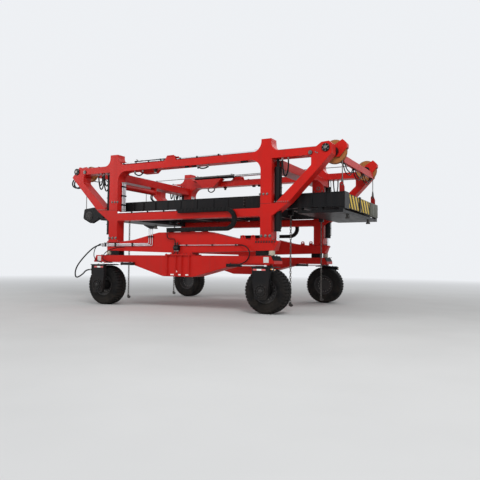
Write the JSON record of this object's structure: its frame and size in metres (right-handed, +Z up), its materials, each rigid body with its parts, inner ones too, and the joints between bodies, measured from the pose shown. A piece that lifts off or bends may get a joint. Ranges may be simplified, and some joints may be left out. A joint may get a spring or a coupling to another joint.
{
  "type": "rubber tyred gantry crane",
  "caption": "Mobile gantry crane on rubber tyres: two telescoping side frames carry a lifting frame on ropes between them.",
  "frame": {"origin": "on the ground in the middle of the crane's length and width", "axes": "+X along the travel, towards the end with the striped panels, +Y across to the far side, +Z up"},
  "size_m": [9.81, 5.848, 4.885],
  "materials": {
    "red_paint": "gloss",
    "dark_red_paint": "satin",
    "black_paint": "satin",
    "stripes": "satin",
    "pipe_steel": "satin",
    "rod_chrome": "polished",
    "cast_steel": "matte",
    "chain_steel": "worn",
    "chain_plastic": "matte",
    "rubber": "matte",
    "tyre": "matte",
    "rim_paint": "satin"
  },
  "bodies": {
    "upper_frame": {"chain_bends": "chain_plastic", "chain_upper": "chain_plastic", "cross_beams": "red_paint", "end_ties": "red_paint", "frame_pipes": "pipe_steel", "hoist_barrels": "black_paint", "hoist_brackets": "red_paint", "lift_barrels": "black_paint", "lower_frames": "red_paint", "sheave_forks": "red_paint", "sheave_shafts": "cast_steel", "sheaves": "cast_steel", "trusses": "red_paint"},
    "hoist_rods": {"hoist_rods": "rod_chrome", "crosshead_ropes": "chain_steel"},
    "spreader": {"spreader_frame": "black_paint", "spreader_decks": "black_paint", "end_panels": "stripes", "twist_locks": "cast_steel", "rope_anchors": "dark_red_paint", "rope_blocks": "black_paint", "hoist_ropes": "chain_steel", "sling_chains": "chain_steel", "sling_hooks": "cast_steel"},
    "undercarriage_near": {"saddle_beam_near": "red_paint", "walking_beam_near": "red_paint", "inner_posts_near": "red_paint", "lift_rods_near": "rod_chrome", "rubber_pads_near": "rubber", "steer_barrels_near": "black_paint", "chain_lower_near": "chain_plastic", "saddle_pipes_near": "pipe_steel", "lifting_lugs_near": "dark_red_paint", "motor_hose_near": "rubber"},
    "fork_near_left": {"fork_near_left": "black_paint"},
    "wheel_near_left": {"tyre_near_left": "tyre", "rim_near_left": "rim_paint"},
    "steer_rod_near_left": {"steer_rod_near_left": "rod_chrome"},
    "fork_near_right": {"fork_near_right": "black_paint"},
    "wheel_near_right": {"tyre_near_right": "tyre", "rim_near_right": "rim_paint"},
    "steer_rod_near_right": {"steer_rod_near_right": "rod_chrome"},
    "undercarriage_far": {"saddle_beam_far": "red_paint", "walking_beam_far": "red_paint", "inner_posts_far": "red_paint", "lift_rods_far": "rod_chrome", "rubber_pads_far": "rubber", "steer_barrels_far": "black_paint", "chain_lower_far": "chain_plastic", "saddle_pipes_far": "pipe_steel", "lifting_lugs_far": "dark_red_paint", "motor_hose_far": "rubber"},
    "fork_far_left": {"fork_far_left": "black_paint"},
    "wheel_far_left": {"tyre_far_left": "tyre", "rim_far_left": "rim_paint"},
    "steer_rod_far_left": {"steer_rod_far_left": "rod_chrome"},
    "fork_far_right": {"fork_far_right": "black_paint"},
    "wheel_far_right": {"tyre_far_right": "tyre", "rim_far_right": "rim_paint"},
    "steer_rod_far_right": {"steer_rod_far_right": "rod_chrome"}
  },
  "joints": [
    {"name": "spreader_lift", "type": "slide", "parent": "upper_frame", "child": "spreader", "axis": [0, 0, 1], "range_m": [-0.1, 0.4], "deforming": ["hoist_ropes"]},
    {"name": "hoist_rod_stroke", "type": "slide", "parent": "upper_frame", "child": "hoist_rods", "axis": [1, 0, 0], "range_m": [-0.4, 0.1]},
    {"name": "lift_near", "type": "slide", "parent": "upper_frame", "child": "undercarriage_near", "axis": [0, 0, -1], "range_m": [0, 1.5], "deforming": ["chain_bends"]},
    {"name": "steer_near_left", "type": "hinge", "parent": "undercarriage_near", "child": "fork_near_left", "pos_m": [-2.88, -2.42, 1.28], "axis": [0, 0, 1], "range_deg": [-35, 35], "deforming": ["motor_hose_near"]},
    {"name": "wheel_spin_near_left", "type": "hinge", "parent": "fork_near_left", "child": "wheel_near_left", "pos_m": [-2.88, -2.42, 0.63], "axis": [0, 1, 0], "continuous": true},
    {"name": "steer_rod_stroke_near_left", "type": "slide", "parent": "undercarriage_near", "child": "steer_rod_near_left", "axis": [1, 0, 0], "range_m": [-0.125, 0.125]},
    {"name": "steer_near_right", "type": "hinge", "parent": "undercarriage_near", "child": "fork_near_right", "pos_m": [2.88, -2.42, 1.28], "axis": [0, 0, 1], "range_deg": [-35, 35]},
    {"name": "wheel_spin_near_right", "type": "hinge", "parent": "fork_near_right", "child": "wheel_near_right", "pos_m": [2.88, -2.42, 0.63], "axis": [0, 1, 0], "continuous": true},
    {"name": "steer_rod_stroke_near_right", "type": "slide", "parent": "undercarriage_near", "child": "steer_rod_near_right", "axis": [1, 0, 0], "range_m": [-0.125, 0.125]},
    {"name": "lift_far", "type": "slide", "parent": "upper_frame", "child": "undercarriage_far", "axis": [0, 0, -1], "range_m": [0, 1.5]},
    {"name": "steer_far_left", "type": "hinge", "parent": "undercarriage_far", "child": "fork_far_left", "pos_m": [-2.88, 2.42, 1.28], "axis": [0, 0, 1], "range_deg": [-35, 35], "deforming": ["motor_hose_far"]},
    {"name": "wheel_spin_far_left", "type": "hinge", "parent": "fork_far_left", "child": "wheel_far_left", "pos_m": [-2.88, 2.42, 0.63], "axis": [0, 1, 0], "continuous": true},
    {"name": "steer_rod_stroke_far_left", "type": "slide", "parent": "undercarriage_far", "child": "steer_rod_far_left", "axis": [1, 0, 0], "range_m": [-0.125, 0.125]},
    {"name": "steer_far_right", "type": "hinge", "parent": "undercarriage_far", "child": "fork_far_right", "pos_m": [2.88, 2.42, 1.28], "axis": [0, 0, 1], "range_deg": [-35, 35]},
    {"name": "wheel_spin_far_right", "type": "hinge", "parent": "fork_far_right", "child": "wheel_far_right", "pos_m": [2.88, 2.42, 0.63], "axis": [0, 1, 0], "continuous": true},
    {"name": "steer_rod_stroke_far_right", "type": "slide", "parent": "undercarriage_far", "child": "steer_rod_far_right", "axis": [1, 0, 0], "range_m": [-0.125, 0.125]}
  ],
  "couplings": [
    {"joint": "hoist_rod_stroke", "follows": "spreader_lift", "ratio": -1},
    {"joint": "steer_rod_stroke_near_left", "follows": "steer_near_left", "m_per_rad": 0.2},
    {"joint": "steer_rod_stroke_near_right", "follows": "steer_near_right", "m_per_rad": 0.2},
    {"joint": "steer_rod_stroke_far_left", "follows": "steer_far_left", "m_per_rad": -0.2},
    {"joint": "steer_rod_stroke_far_right", "follows": "steer_far_right", "m_per_rad": -0.2},
    {"joint": "lift_far", "follows": "lift_near", "ratio": 1}
  ]
}
